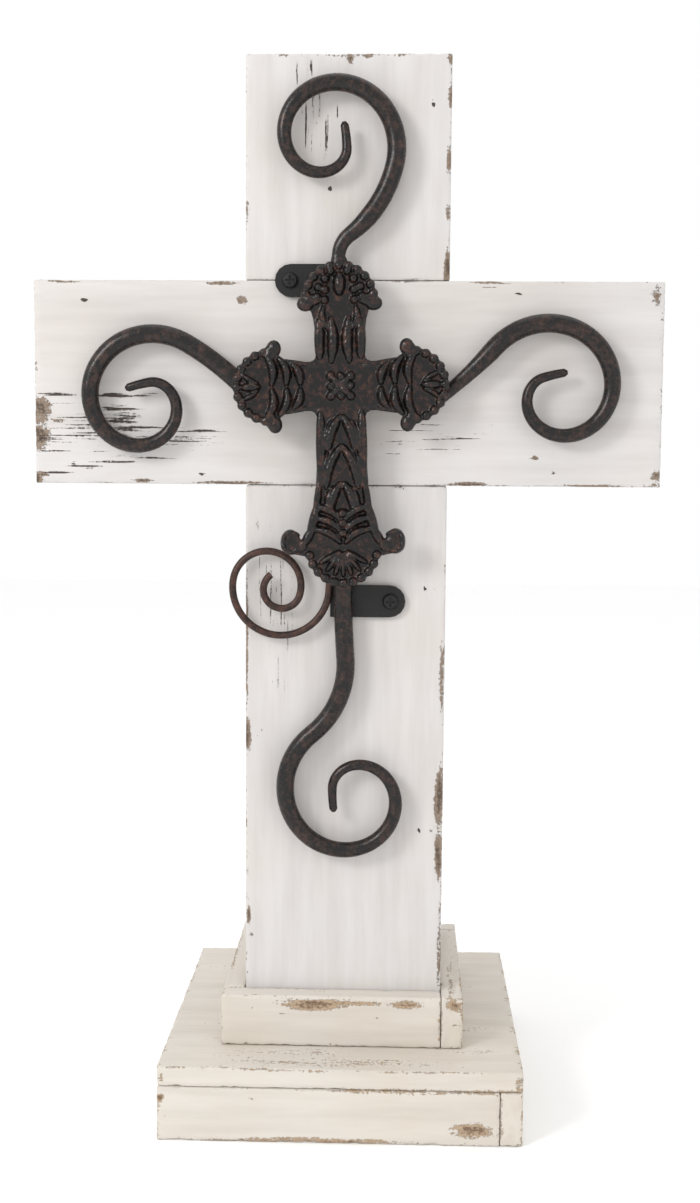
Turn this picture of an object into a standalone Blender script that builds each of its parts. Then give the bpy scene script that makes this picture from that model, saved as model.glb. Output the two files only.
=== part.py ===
"""Standing cross: a boxed wooden cross on a two step plinth, with an iron scroll cross on its front."""
import math

import bmesh
import bpy
from mathutils import Matrix, Vector

# Overall sizes, in metres. The front faces -Y and the origin is under the middle of the base.
HEIGHT = 0.530
POST_WIDTH = 0.100
BEAM_LENGTH = 0.310
BEAM_BOTTOM = 0.322
BEAM_TOP = 0.422
BOARD = 0.011
GAP = 0.0003
EDGE_EASING = 0.0006

# Plinth.
STEP_TOP = 0.064
BASE_WIDTH = 0.180
BASE_TOP = 0.0375
PANEL_THICKNESS = 0.010

# Iron rods, measured out from the wood's front face.
ROD_OFFSET = 0.0078
ROD_RADIUS = 0.0046
ROD_TIP_RADIUS = 0.0020
ROD_NECK_RADIUS = 0.0031
ROD_ROOT = 0.013
TAPER_EASING = 1.6
TIP_BEND = 0.070
WIRE_OFFSET = 0.0055
WIRE_RADIUS = 0.0018
CURL_STEP = 12.0
WIRE_STEP = 18.0

# The iron cross is centred on the crossbeam, so its heights count from the beam's middle.
BEAM_MIDDLE = (BEAM_BOTTOM + BEAM_TOP) / 2

# Each scroll starts at (x, height over the beam's middle) with a heading in degrees. Its bends are
# (radius, turn), positive to the left, and its curl is (outer radius, inner radius, turn), tightening
# steadily. The tip then straightens out over the last turn given.
TOP_SCROLL = {"start": (-0.004, 0.059), "heading": 97.0, "bends": [(-0.013, 60.0), (0.058, 40.0)],
              "curl": (0.034, 0.009, 375.0), "side": 1, "narrow_neck": True, "tip": 10.0}
LEFT_SCROLL = {"start": (-0.055, 0.002), "heading": 138.0, "bends": [(0.136, 12.0)],
               "curl": (0.035, 0.009, 400.0), "side": 1, "narrow_neck": False, "tip": 10.0}
RIGHT_SCROLL = {"start": (0.052, -0.002), "heading": 40.0, "bends": [(0.200, 8.0)],
                "curl": (0.037, 0.009, 390.0), "side": -1, "narrow_neck": True, "tip": 10.0}
BOTTOM_SCROLL = {"start": (-0.001, -0.102), "heading": -89.0, "bends": [(0.650, 3.0), (-0.045, 55.0)],
                 "curl": (0.037, 0.010, 410.0), "side": 1, "narrow_neck": False, "tip": 10.0}
WIRE_SPIRAL = {"start": (-0.008, -0.102), "heading": -93.0, "bends": [(-0.024, 185.0), (-0.017, 190.0)],
               "curl": (0.009, 0.0095, 215.0), "side": -1, "narrow_neck": False, "tip": 0.0}

# Mounting tabs and their screws.
TAB_WIDTH = 0.016
TAB_THICKNESS = 0.0024
TAB_LENGTH = 0.0375
UPPER_TAB = (-0.0355, (BEAM_TOP - BEAM_BOTTOM) / 2 - GAP)
LOWER_TAB = (0.0300, -0.1076)
SCREW_INSET = 0.0075
SCREW_HEAD_RADIUS = 0.0040
SCREW_HEAD_HEIGHT = 0.0022
SHANK_RADIUS = 0.0017
SHANK_LENGTH = 0.0095
SLOT_WIDTH = 0.0010
SLOT_LENGTH = 0.0044
SLOT_DEPTH = 0.0012

# Medallion, in its own plane: u to the right, v up and w out of the wood, from the crossing.
MEDALLION_CENTRE = (-0.0024, -0.0018)
MEDALLION_TURN = 1.2
MEDALLION_PLATE = 0.0034
ARM_HALF_WIDTH = 0.0118
TOP_HEAD = 0.041
SIDE_HEAD = 0.034
BOTTOM_HEAD = 0.079
HEAD_RADIUS = 0.0180
BEAD_RADIUS = 0.0024
BEADS = 11
LOBE_SIZE = (0.0036, 0.0042)
TOP_LOBE_REACH = 0.0208
SIDE_LOBE_REACH = 0.0226
EAR_SPOT = (0.0257, -0.0753)
EAR_SIZE = (0.0050, 0.0065, 0.0044)
INNER_ROUNDING = 0.0035
FAN_REACH = 0.0078
RAIL_RADIUS = 0.0018


def clear_scene():
    """Start from an empty file."""
    for old in list(bpy.data.objects):
        bpy.data.objects.remove(old)


def new_collection(name):
    """A collection linked to the scene."""
    made = bpy.data.collections.new(name)
    bpy.context.scene.collection.children.link(made)
    return made


def finish_material(name, colour, roughness, metallic):
    """One Principled finish."""
    made = bpy.data.materials.new(name)
    made.use_nodes = True
    shader = made.node_tree.nodes["Principled BSDF"]
    shader.inputs["Base Color"].default_value = (*colour, 1.0)
    shader.inputs["Roughness"].default_value = roughness
    shader.inputs["Metallic"].default_value = metallic
    return made


def paint(name):
    """Distressed white paint."""
    return finish_material(name + "_paint", (0.78, 0.76, 0.72), 0.75, 0.0)


def iron(name):
    """Dark rusty iron."""
    return finish_material(name + "_iron", (0.045, 0.036, 0.032), 0.5, 0.85)


def link_mesh(name, mesh, material, collection):
    """Put a mesh in the scene as a named piece."""
    piece = bpy.data.objects.new(name, mesh)
    collection.objects.link(piece)
    if material is not None:
        mesh.materials.append(material)
    return piece


def hide_cutter(cutter):
    """Mark a cutting shape as a guide."""
    cutter.hide_render = True
    cutter.display_type = "WIRE"


def board(name, low, high, collection):
    """A board between two corners, with eased edges."""
    size = Vector(high) - Vector(low)
    mesh = bpy.data.meshes.new(name)
    shape = bmesh.new()
    bmesh.ops.create_cube(shape, size=1.0, matrix=Matrix.Diagonal((*size, 1.0)))
    shape.to_mesh(mesh)
    shape.free()
    piece = link_mesh(name, mesh, paint(name), collection)
    piece.location = (Vector(low) + Vector(high)) / 2
    easing = piece.modifiers.new("eased edges", "BEVEL")
    easing.width = EDGE_EASING
    easing.segments = 1
    return piece


def cut(piece, cutter):
    """Take a cutter's shape out of a piece."""
    change = piece.modifiers.new("cut " + cutter.name, "BOOLEAN")
    change.operation = "DIFFERENCE"
    change.object = cutter


def make_cross(collection):
    """Facing boards front and back, with strips round every edge between them."""
    half = POST_WIDTH / 2
    beam = BEAM_LENGTH / 2
    foot = BASE_TOP + GAP
    inner = half - BOARD
    for side, outward in (("front", -1), ("back", 1)):
        depth = sorted((outward * half, outward * inner))
        board(side + "_stub", (-half, depth[0], BEAM_TOP + GAP), (half, depth[1], HEIGHT), collection)
        board(side + "_beam", (-beam, depth[0], BEAM_BOTTOM), (beam, depth[1], BEAM_TOP), collection)
        board(side + "_shaft", (-half, depth[0], foot), (half, depth[1], BEAM_BOTTOM - GAP), collection)
    deep = inner - GAP
    for side, outward in (("left", -1), ("right", 1)):
        edge = sorted((outward * half, outward * inner))
        end = sorted((outward * beam, outward * (beam - BOARD)))
        arm = sorted((outward * (beam - BOARD - GAP), outward * inner))
        board("stub_side_" + side, (edge[0], -deep, BEAM_TOP + GAP),
              (edge[1], deep, HEIGHT - BOARD - GAP), collection)
        board("shaft_side_" + side, (edge[0], -deep, foot), (edge[1], deep, BEAM_BOTTOM - GAP), collection)
        board("arm_top_" + side, (arm[0], -deep, BEAM_TOP - BOARD), (arm[1], deep, BEAM_TOP), collection)
        board("arm_bottom_" + side, (arm[0], -deep, BEAM_BOTTOM),
              (arm[1], deep, BEAM_BOTTOM + BOARD), collection)
        board("arm_end_" + side, (end[0], -deep, BEAM_BOTTOM), (end[1], deep, BEAM_TOP), collection)
    board("top_cap", (-half, -deep, HEIGHT - BOARD), (half, deep, HEIGHT), collection)


def pinwheel(prefix, outer, low, high, collection):
    """Four boards round a square, each covering the next one's end on one side only."""
    inner = outer - BOARD
    reach = inner - GAP
    board(prefix + "_front", (-outer, -outer, low), (reach, -inner, high), collection)
    board(prefix + "_right", (inner, -outer, low), (outer, reach, high), collection)
    board(prefix + "_back", (-reach, inner, low), (outer, outer, high), collection)
    board(prefix + "_left", (-outer, -reach, low), (-inner, outer, high), collection)


def make_plinth(collection):
    """The upper step wraps the post, and the lower step is a panel on a frame."""
    pinwheel("step", POST_WIDTH / 2 + GAP + BOARD, BASE_TOP + GAP, STEP_TOP, collection)
    half = BASE_WIDTH / 2
    panel_bottom = BASE_TOP - PANEL_THICKNESS
    board("base_panel", (-half, -half, panel_bottom), (half, half, BASE_TOP), collection)
    pinwheel("base", half, 0.0, panel_bottom - GAP, collection)


def scroll_points(scroll, step):
    """Points along a scroll, one each step of turn, and how far each is along it from 0 to 1."""
    heading = math.radians(scroll["heading"])
    ahead = Vector((math.cos(heading), math.sin(heading)))
    spot = Vector(scroll["start"]) - ahead * ROD_ROOT
    points = [spot.copy()]
    spot = Vector(scroll["start"])
    points.append(spot.copy())
    outer, inner, turn = scroll["curl"]
    side = scroll["side"]
    stretches = [(radius, radius, sweep) for radius, sweep in scroll["bends"]]
    stretches.append((side * outer, side * inner, turn))
    if scroll["tip"]:
        stretches.append((side * TIP_BEND, side * TIP_BEND, scroll["tip"]))
    for first, last, sweep in stretches:
        steps = max(2, round(sweep / step))
        turn_step = math.radians(sweep) / steps
        for index in range(steps):
            radius = first + (last - first) * (index + 0.5) / steps
            heading += math.copysign(turn_step, radius) / 2
            spot += Vector((math.cos(heading), math.sin(heading))) * abs(radius) * turn_step
            heading += math.copysign(turn_step, radius) / 2
            points.append(spot.copy())
    lengths = [0.0]
    for before, after in zip(points, points[1:]):
        lengths.append(lengths[-1] + (after - before).length)
    return points, [length / lengths[-1] for length in lengths]


def rod_thickness(scroll, share):
    """Full for the big curve, then drawn down to the tip, most of all at its end."""
    taper_start = 0.35
    neck_end = 0.18
    if share > taper_start:
        down = ((share - taper_start) / (1 - taper_start)) ** TAPER_EASING
        return 1 - down * (1 - ROD_TIP_RADIUS / ROD_RADIUS)
    if scroll["narrow_neck"] and share < neck_end:
        neck = ROD_NECK_RADIUS / ROD_RADIUS
        return neck + (1 - neck) * (share / neck_end) ** 2
    return 1.0


def make_rod(name, scroll, offset, radius, tapered, collection):
    """A curve with a round section and filled ends."""
    path = bpy.data.curves.new(name, "CURVE")
    path.dimensions = "3D"
    path.bevel_depth = radius
    path.bevel_resolution = 2
    path.use_fill_caps = True
    line = path.splines.new("POLY")
    points, shares = scroll_points(scroll, CURL_STEP if tapered else WIRE_STEP)
    line.points.add(len(points) - 1)
    depth = -(POST_WIDTH / 2 + offset)
    for point, spot, share in zip(line.points, points, shares):
        point.co = (spot.x, depth, BEAM_MIDDLE + spot.y, 1.0)
        point.radius = rod_thickness(scroll, share) if tapered else 1.0
    path.materials.append(iron(name))
    piece = bpy.data.objects.new(name, path)
    collection.objects.link(piece)
    return piece


def make_scrolls(collection):
    """The four scrolls and the thin wire spiral."""
    for name, scroll in (("top_scroll", TOP_SCROLL), ("left_scroll", LEFT_SCROLL),
                         ("right_scroll", RIGHT_SCROLL), ("bottom_scroll", BOTTOM_SCROLL)):
        make_rod(name, scroll, ROD_OFFSET, ROD_RADIUS, True, collection)
    make_rod("wire_spiral", WIRE_SPIRAL, WIRE_OFFSET, WIRE_RADIUS, False, collection)


def outline_mesh(name, points, thickness):
    """A flat outline in its own XY plane, from 0 to its thickness along Z."""
    path = bpy.data.curves.new(name, "CURVE")
    path.dimensions = "2D"
    path.fill_mode = "BOTH"
    path.extrude = thickness / 2
    line = path.splines.new("POLY")
    line.points.add(len(points) - 1)
    for point, (across, up) in zip(line.points, points):
        point.co = (across, up, 0.0, 1.0)
    line.use_cyclic_u = True
    guide = bpy.data.objects.new(name, path)
    bpy.context.scene.collection.objects.link(guide)
    graph = bpy.context.evaluated_depsgraph_get()
    mesh = bpy.data.meshes.new_from_object(guide.evaluated_get(graph))
    bpy.data.objects.remove(guide)
    shape = bmesh.new()
    shape.from_mesh(mesh)
    bmesh.ops.remove_doubles(shape, verts=shape.verts, dist=0.00001)
    bmesh.ops.translate(shape, verts=shape.verts, vec=(0.0, 0.0, thickness / 2))
    bmesh.ops.recalc_face_normals(shape, faces=shape.faces)
    shape.to_mesh(mesh)
    shape.free()
    return mesh


def arc(centre, radius, first, last, steps):
    """Points along an arc, angles in degrees."""
    points = []
    for index in range(steps + 1):
        angle = math.radians(first + (last - first) * index / steps)
        points.append((centre[0] + radius * math.cos(angle), centre[1] + radius * math.sin(angle)))
    return points


def on_wood(spot, offset, turn=0.0):
    """A matrix that stands a flat piece on the wood's front face, its Z axis out of the wood."""
    place = Matrix.Translation((spot[0], -(POST_WIDTH / 2 + offset), BEAM_MIDDLE + spot[1]))
    return place @ Matrix.Rotation(math.radians(90), 4, "X") @ Matrix.Rotation(math.radians(turn), 4, "Z")


def cylinder_cutter(name, spot, radius, depth, collection):
    """A round cutter straight through the front face."""
    mesh = bpy.data.meshes.new(name)
    shape = bmesh.new()
    bmesh.ops.create_cone(shape, cap_ends=True, segments=12, radius1=radius, radius2=radius, depth=depth)
    shape.to_mesh(mesh)
    shape.free()
    cutter = link_mesh(name, mesh, None, collection)
    cutter.matrix_world = on_wood(spot, 0.0)
    hide_cutter(cutter)
    return cutter


def make_screw(name, spot, collection, cutters):
    """A turned pan head on a pointed shank, with a cross recess."""
    head_seat = GAP + TAB_THICKNESS + GAP
    dome = SCREW_HEAD_RADIUS * 0.8
    profile = [(0.0, SCREW_HEAD_HEIGHT), (dome, SCREW_HEAD_HEIGHT * 0.8),
               (SCREW_HEAD_RADIUS, SCREW_HEAD_HEIGHT * 0.3), (SCREW_HEAD_RADIUS, 0.0),
               (SHANK_RADIUS, 0.0), (SHANK_RADIUS, -SHANK_LENGTH * 0.8), (0.0, -SHANK_LENGTH)]
    mesh = bpy.data.meshes.new(name)
    shape = bmesh.new()
    verts = [shape.verts.new((across, 0.0, up)) for across, up in profile]
    for before, after in zip(verts, verts[1:]):
        shape.edges.new((before, after))
    shape.to_mesh(mesh)
    shape.free()
    piece = link_mesh(name, mesh, iron(name), collection)
    piece.matrix_world = on_wood(spot, head_seat)
    turned = piece.modifiers.new("turned", "SCREW")
    turned.steps = 12
    turned.render_steps = 12
    turned.use_merge_vertices = True
    turned.merge_threshold = 0.00001
    for index, size in enumerate(((SLOT_LENGTH, SLOT_WIDTH), (SLOT_WIDTH, SLOT_LENGTH))):
        slot_mesh = bpy.data.meshes.new(name + "_recess")
        slot_shape = bmesh.new()
        bmesh.ops.create_cube(slot_shape, size=1.0, matrix=Matrix.Diagonal((*size, SLOT_DEPTH * 2, 1.0)))
        slot_shape.to_mesh(slot_mesh)
        slot_shape.free()
        slot = link_mesh(name + "_recess_" + str(index), slot_mesh, None, cutters)
        slot.matrix_world = on_wood(spot, head_seat + SCREW_HEAD_HEIGHT)
        hide_cutter(slot)
        cut(piece, slot)
    return piece


def make_tab(name, end, toward, collection, cutters):
    """A strip with a rounded end at (x, z), running behind the rod, with its screw."""
    half = TAB_WIDTH / 2
    if toward > 0:
        points = arc((end[0] + half, end[1]), half, 90, 270, 8)
    else:
        points = arc((end[0] - half, end[1]), half, -90, 90, 8)
    far = end[0] + toward * TAB_LENGTH
    points += [(far, end[1] - toward * half), (far, end[1] + toward * half)]
    flat = [(across - end[0], up - end[1]) for across, up in points]
    piece = link_mesh(name, outline_mesh(name, flat, TAB_THICKNESS), iron(name), collection)
    piece.matrix_world = on_wood(end, GAP)
    spot = (end[0] + toward * SCREW_INSET, end[1])
    hole = cylinder_cutter(name + "_hole", spot, SHANK_RADIUS + GAP, 2 * BOARD + 0.008, cutters)
    cut(piece, hole)
    return spot, hole


def make_fixings(collection, cutters):
    """Both tabs, their screws and the pilot holes that the screws sit in."""
    spot, hole = make_tab("upper_tab", UPPER_TAB, 1, collection, cutters)
    make_screw("upper_screw", spot, collection, cutters)
    cut(collection.objects["front_beam"], hole)
    cut(collection.objects["front_stub"], hole)
    spot, hole = make_tab("lower_tab", LOWER_TAB, -1, collection, cutters)
    make_screw("lower_screw", spot, collection, cutters)
    cut(collection.objects["front_shaft"], hole)


def add_mesh(shape, mesh):
    """Add an outline mesh to a shape."""
    shape.from_mesh(mesh)
    bpy.data.meshes.remove(mesh)


def add_lobe(shape, spot, size, turn=0.0, sides=8, rings=4):
    """A rounded lobe, its middle on the plate's face: size is its half length, width and height."""
    place = Matrix.Translation((spot[0], spot[1], MEDALLION_PLATE * 0.9))
    turned = Matrix.Rotation(math.radians(turn), 4, "Z")
    stretched = Matrix.Diagonal((*size, 1.0))
    bmesh.ops.create_uvsphere(shape, u_segments=sides, v_segments=rings, radius=1.0,
                              matrix=place @ turned @ stretched)


def outward_spot(centre, outward, radius, angle):
    """A spot round a head's centre, the angle counted from the way that the head points."""
    turn = math.radians(outward + angle)
    return centre[0] + radius * math.cos(turn), centre[1] + radius * math.sin(turn)


def add_head(shape, relief, centre, outward, lobe_reach):
    """A half round end with a beaded rim, and two corner lobes where a reach is given."""
    add_mesh(shape, outline_mesh("head", arc(centre, HEAD_RADIUS, outward - 95, outward + 95, 20),
                                 MEDALLION_PLATE))
    for index in range(BEADS):
        angle = -80 + 160 * index / (BEADS - 1)
        spot = outward_spot(centre, outward, HEAD_RADIUS - BEAD_RADIUS * 0.6, angle)
        add_lobe(relief, spot, (BEAD_RADIUS, BEAD_RADIUS, BEAD_RADIUS), 0.0, 6, 3)
    if lobe_reach:
        for side in (-1, 1):
            spot = outward_spot(centre, outward, lobe_reach - LOBE_SIZE[1], side * 96)
            add_lobe(relief, spot, (*LOBE_SIZE, MEDALLION_PLATE * 0.88), outward)


def mirrored(edge):
    """An outline from its right hand edge, listed from one end to the other."""
    return edge + [(-across, up) for across, up in reversed(edge)]


def add_plate(shape, relief):
    """The arms and shaft, flaring into their four ends, with rounded inner corners."""
    half = ARM_HALF_WIDTH
    arm_edge = [(half + 0.0036, SIDE_HEAD), (half + 0.0014, SIDE_HEAD - 0.007), (half, SIDE_HEAD - 0.016)]
    arm_edge += [(across, -out) for across, out in reversed(arm_edge)]
    arms = [(out, across) for across, out in mirrored(arm_edge)]
    add_mesh(shape, outline_mesh("arms", arms, MEDALLION_PLATE * 0.97))
    shaft_edge = [(half + 0.0036, TOP_HEAD), (half + 0.0010, TOP_HEAD - 0.009), (half, TOP_HEAD - 0.018),
                  (half, -0.030), (half + 0.0010, -0.048), (half + 0.0027, -0.060), (half + 0.0054, -0.0705),
                  (half + 0.0080, -0.0750), (EAR_SPOT[0], -0.0765), (EAR_SPOT[0], -0.0810),
                  (HEAD_RADIUS, -0.0825)]
    add_mesh(shape, outline_mesh("shaft", mirrored(shaft_edge), MEDALLION_PLATE * 0.94))
    for right in (-1, 1):
        for top in (-1, 1):
            rounding = [(half - 0.002, half - 0.002), (half + INNER_ROUNDING, half - 0.002)]
            rounding += arc((half + INNER_ROUNDING, half + INNER_ROUNDING), INNER_ROUNDING, 270, 180, 4)
            rounding += [(half - 0.002, half + INNER_ROUNDING)]
            corner = [(right * across, top * up) for across, up in rounding]
            add_mesh(shape, outline_mesh("rounding", corner, MEDALLION_PLATE * 0.92))
    add_head(shape, relief, (0.0, TOP_HEAD), 90, TOP_LOBE_REACH)
    add_head(shape, relief, (SIDE_HEAD, 0.0), 0, SIDE_LOBE_REACH)
    add_head(shape, relief, (-SIDE_HEAD, 0.0), 180, SIDE_LOBE_REACH)
    add_head(shape, relief, (0.0, -BOTTOM_HEAD), -90, 0.0)
    for side in (-1, 1):
        add_lobe(relief, (side * EAR_SPOT[0], EAR_SPOT[1]), EAR_SIZE)


def add_rails(relief):
    """A rounded rail along each side of the shaft and of the top arm."""
    rail = ARM_HALF_WIDTH - RAIL_RADIUS * 0.6
    for side in (-1, 1):
        for low, high in ((-0.046, -0.014), (0.014, 0.031)):
            place = Matrix.Translation((side * rail, (low + high) / 2, MEDALLION_PLATE * 0.9))
            bmesh.ops.create_cone(relief, cap_ends=True, segments=8, radius1=RAIL_RADIUS,
                                  radius2=RAIL_RADIUS, depth=high - low,
                                  matrix=place @ Matrix.Rotation(math.radians(90), 4, "X"))


def add_carving(relief):
    """Buds, berries, S shaped leaves, bellflower petals and the fan."""
    add_lobe(relief, (0.0, TOP_HEAD + 0.008), (0.0034, 0.0058, 0.0042))
    for side in (-1, 1):
        for across, up in ((0.0070, 0.010), (0.0100, 0.005), (0.0066, 0.003)):
            add_lobe(relief, (side * across, TOP_HEAD + up), (0.0026, 0.0026, 0.0030), 0.0, 6, 4)
        add_lobe(relief, (side * 0.0042, 0.0225), (0.0028, 0.0095, 0.0030))
        for up, reach in ((-0.0235, 0.0080), (-0.0400, 0.0095), (-0.0550, 0.0060)):
            add_lobe(relief, (side * 0.0040, up), (0.0027, reach, 0.0030), side * -8)
        for up in (-0.0640, -0.0700, -0.0755):
            add_lobe(relief, (side * 0.0066, up), (0.0056, 0.0030, 0.0030), side * 28)
        for up in (-1, 1):
            for out, away, turn in ((0.0245, 0.0055, 28), (0.0315, 0.0095, 42), (0.0385, 0.0082, 60)):
                add_lobe(relief, (side * out, up * away), (0.0066, 0.0022, 0.0032), side * up * turn)
        add_lobe(relief, (side * (SIDE_HEAD + 0.0095), 0.0), (0.0050, 0.0030, 0.0036))
    for angle in (-145, -118, -90, -62, -35):
        spot = outward_spot((0.0, -BOTTOM_HEAD), angle, FAN_REACH, 0.0)
        add_lobe(relief, spot, (0.0066, 0.0021, 0.0034), angle)
    for angle in (45, 135, 225, 315):
        spot = outward_spot((0.0, 0.0), angle, 0.0034, 0.0)
        add_lobe(relief, spot, (0.0052, 0.0026, 0.0040), angle)


def make_medallion(collection, cutters):
    """One casting: the plate's shapes and the relief on them, joined."""
    plate = bmesh.new()
    relief = bmesh.new()
    add_plate(plate, relief)
    add_rails(relief)
    add_carving(relief)
    back = bmesh.ops.bisect_plane(relief, geom=relief.verts[:] + relief.edges[:] + relief.faces[:],
                                  plane_co=(0.0, 0.0, MEDALLION_PLATE * 0.25), plane_no=(0.0, 0.0, -1.0),
                                  clear_outer=True)
    cut_edges = [item for item in back["geom_cut"] if isinstance(item, bmesh.types.BMEdge)]
    bmesh.ops.holes_fill(relief, edges=cut_edges)
    plate_mesh = bpy.data.meshes.new("medallion")
    relief_mesh = bpy.data.meshes.new("medallion_relief")
    plate.to_mesh(plate_mesh)
    relief.to_mesh(relief_mesh)
    plate.free()
    relief.free()
    place = on_wood(MEDALLION_CENTRE, ROD_OFFSET + ROD_RADIUS + GAP, MEDALLION_TURN)
    piece = link_mesh("medallion", plate_mesh, iron("medallion"), collection)
    carving = link_mesh("medallion_relief", relief_mesh, None, cutters)
    piece.matrix_world = place
    carving.matrix_world = place
    hide_cutter(carving)
    joined = piece.modifiers.new("joined", "BOOLEAN")
    joined.operation = "UNION"
    joined.use_self = True
    joined.object = carving


def smooth_round_pieces(collection):
    """Round pieces are shaded smooth."""
    for piece in collection.objects:
        if piece.type == "MESH" and piece.name in ("medallion", "upper_screw", "lower_screw"):
            piece.data.shade_smooth()


def main():
    """Build every piece."""
    clear_scene()
    pieces = new_collection("standing_cross")
    cutters = new_collection("standing_cross_cutters")
    make_cross(pieces)
    make_plinth(pieces)
    make_scrolls(pieces)
    make_fixings(pieces, cutters)
    make_medallion(pieces, cutters)
    smooth_round_pieces(pieces)


main()
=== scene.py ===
# %% [markdown]
# # A standing cross of painted boards with an ironwork cross on its front
# This lesson dresses a wooden cross that is nailed up from thin boards, painted white, cracked and rubbed.
# A dark iron cross with four scrolls is screwed to its front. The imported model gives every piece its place
# and size, so each new piece below starts from the box of the piece that it stands for.

# %% Load the frame
import math

import bpy
import numpy as np
from mathutils import Matrix, Vector, noise


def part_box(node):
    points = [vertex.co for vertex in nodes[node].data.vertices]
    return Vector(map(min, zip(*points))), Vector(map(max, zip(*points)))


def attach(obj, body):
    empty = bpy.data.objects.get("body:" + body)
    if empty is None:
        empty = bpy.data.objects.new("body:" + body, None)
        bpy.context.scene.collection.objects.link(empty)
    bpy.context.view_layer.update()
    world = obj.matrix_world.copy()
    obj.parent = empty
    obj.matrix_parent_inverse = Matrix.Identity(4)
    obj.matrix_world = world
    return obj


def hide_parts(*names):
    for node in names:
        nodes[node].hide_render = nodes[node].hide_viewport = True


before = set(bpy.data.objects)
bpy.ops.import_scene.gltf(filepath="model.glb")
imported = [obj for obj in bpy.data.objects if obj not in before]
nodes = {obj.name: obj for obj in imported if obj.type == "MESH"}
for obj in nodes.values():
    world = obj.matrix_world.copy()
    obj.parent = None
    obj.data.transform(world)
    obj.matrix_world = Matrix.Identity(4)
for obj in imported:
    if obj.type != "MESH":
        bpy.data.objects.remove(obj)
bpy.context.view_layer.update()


# %% [markdown]
# ## The camera and the light
# The photograph looks at the front from slightly right and above, close enough that the base shows its top.
# The light is broad and soft, from the upper left, so the iron throws a pale shadow to the right.

# %% Camera at the photograph's view
CAMERA_PLACE = (0.0265, -0.8111, 0.3413)
CAMERA_YAW = math.radians(1.82)
CAMERA_PITCH = math.radians(5.80)
CAMERA_ROLL = math.radians(0.40)
CAMERA_LENS = 45.77

bpy.ops.object.camera_add(location=CAMERA_PLACE)
camera = bpy.context.object
camera.name = "camera"
camera.data.lens = CAMERA_LENS
camera.data.sensor_width = 36.0
turned = Matrix.Rotation(CAMERA_YAW, 4, "Z") @ Matrix.Rotation(math.radians(90) - CAMERA_PITCH, 4, "X")
camera.matrix_world = Matrix.Translation(CAMERA_PLACE) @ turned @ Matrix.Rotation(CAMERA_ROLL, 4, "Z")
bpy.context.scene.camera = camera
print("camera", tuple(round(value, 3) for value in camera.location))


# %% Soft studio light
def soft_light(name, place, aim, size, watts):
    """A square area light at a place, facing a point."""
    bpy.ops.object.light_add(type="AREA", location=place)
    lamp = bpy.context.object
    lamp.name = name
    lamp.data.size = size
    lamp.data.energy = watts
    facing = (Vector(aim) - Vector(place)).to_track_quat("-Z", "Y")
    lamp.rotation_euler = facing.to_euler()
    print("light", name, watts, "W")


soft_light("key", (-0.95, -1.05, 0.95), (0.0, 0.0, 0.30), 0.40, 9.0)
soft_light("fill", (1.1, -1.3, 0.6), (0.0, 0.0, 0.28), 1.2, 1.5)
soft_light("top", (0.1, 0.1, 1.6), (0.0, 0.0, 0.2), 1.2, 2.5)

world = bpy.data.worlds.new("studio")
bpy.context.scene.world = world
world.use_nodes = True
backdrop = world.node_tree.nodes["Background"]
backdrop.inputs["Color"].default_value = (1.0, 1.0, 1.0, 1.0)
backdrop.inputs["Strength"].default_value = 1.0
bpy.context.scene.view_settings.view_transform = "Standard"


# %% [markdown]
# ## Small helpers for building node materials
# A finish here is a chain of nodes. Two short helpers add a node and join sockets, so that each finish
# reads as a list of what happens to the surface.

# %% Node helpers
def add_node(tree, kind, values=None, **settings):
    """A node with its settings and the values of its unlinked inputs."""
    node = tree.nodes.new(kind)
    for key, value in settings.items():
        setattr(node, key, value)
    for key, value in (values or {}).items():
        node.inputs[key].default_value = value
    return node


def scaled_noise(tree, stretch, scale, detail=4.0, roughness=0.6):
    """Noise on the object's own coordinates, drawn out by a stretch along each axis."""
    place = add_node(tree, "ShaderNodeTexCoord")
    mapping = add_node(tree, "ShaderNodeMapping", {"Scale": stretch})
    grain = add_node(tree, "ShaderNodeTexNoise", {"Scale": scale, "Detail": detail, "Roughness": roughness})
    tree.links.new(place.outputs["Object"], mapping.inputs["Vector"])
    tree.links.new(mapping.outputs["Vector"], grain.inputs["Vector"])
    return grain.outputs["Fac"]


def ramp(tree, source, stops):
    """A colour ramp with stops of (position, colour)."""
    node = add_node(tree, "ShaderNodeValToRGB")
    elements = node.color_ramp.elements
    elements[0].position, elements[0].color = stops[0][0], (*stops[0][1], 1.0)
    elements[1].position, elements[1].color = stops[-1][0], (*stops[-1][1], 1.0)
    for position, colour in stops[1:-1]:
        elements.new(position).color = (*colour, 1.0)
    tree.links.new(source, node.inputs["Fac"])
    return node.outputs["Color"]


def combine(tree, operation, first, second):
    """A math node on two sockets, or on a socket and a number."""
    node = add_node(tree, "ShaderNodeMath", operation=operation)
    for index, source in enumerate((first, second)):
        if isinstance(source, (int, float)):
            node.inputs[index].default_value = source
        else:
            tree.links.new(source, node.inputs[index])
    return node.outputs["Value"]


def mix(tree, share, under, over):
    """Colour mixed from under to over by a share."""
    node = add_node(tree, "ShaderNodeMix", data_type="RGBA")
    tree.links.new(share, node.inputs[0])
    for socket, source in ((node.inputs[6], under), (node.inputs[7], over)):
        if isinstance(source, tuple):
            socket.default_value = (*source, 1.0)
        else:
            tree.links.new(source, socket)
    return node.outputs[2]


def attribute(tree, name):
    """A number kept on each vertex."""
    return add_node(tree, "ShaderNodeAttribute", attribute_name=name).outputs["Fac"]


# %% [markdown]
# ## Distressed paint
# The real boards are brushed with thin white paint that has dried, cracked along the grain, and been rubbed
# off the edges down to bare wood. Where the paint fails is painted on the mesh as two numbers for each
# vertex: wear for flakes and rubbed edges, crack for patches of fine splits. The shader breaks both up with
# noise drawn out along the grain, so their edges are as crisp as flaked paint and need no dense mesh.

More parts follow.
